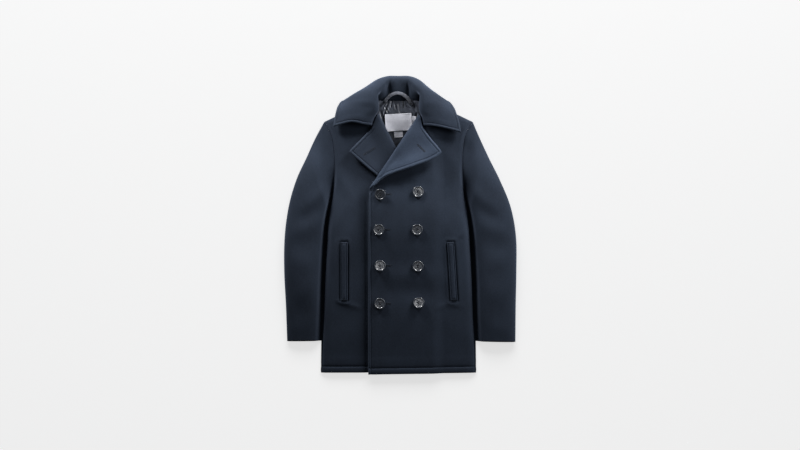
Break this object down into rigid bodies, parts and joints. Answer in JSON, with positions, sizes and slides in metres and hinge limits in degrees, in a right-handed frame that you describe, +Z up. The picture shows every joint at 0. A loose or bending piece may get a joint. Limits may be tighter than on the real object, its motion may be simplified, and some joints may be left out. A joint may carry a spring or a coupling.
{
  "type": "double-breasted pea coat",
  "caption": "Double-breasted wool pea coat with broad lapels and a turned-down collar, buttoned and laid flat on its back.",
  "frame": {"origin": "on the surface the coat lies on, under the middle of its footprint", "axes": "+Z up, away from the surface; +Y from the hem to the collar; +X to the wearer's left, which is the right of the picture"},
  "size_m": [0.6525, 0.8392, 0.0565],
  "materials": {
    "melton": "matt brushed wool",
    "button": "polished",
    "lining": "satin",
    "label": "woven satin"
  },
  "bodies": {
    "root": {"back_left": "melton", "back_right": "melton", "front_left": "melton", "front_right": "melton", "facing_left": "melton", "facing_right": "melton", "sleeve_top_left": "melton", "sleeve_top_right": "melton", "sleeve_under_left": "melton", "sleeve_under_right": "melton", "collar_upper": "melton", "collar_under": "melton", "welt_left": "melton", "welt_right": "melton", "lining_neck": "lining", "hanger_loop": "lining", "label_main": "label", "label_size": "label", "label_care": "label", "button_left_1": "button", "button_left_2": "button", "button_left_3": "button", "button_left_4": "button", "button_right_1": "button", "button_right_2": "button", "button_right_3": "button", "button_right_4": "button"}
  },
  "joints": []
}
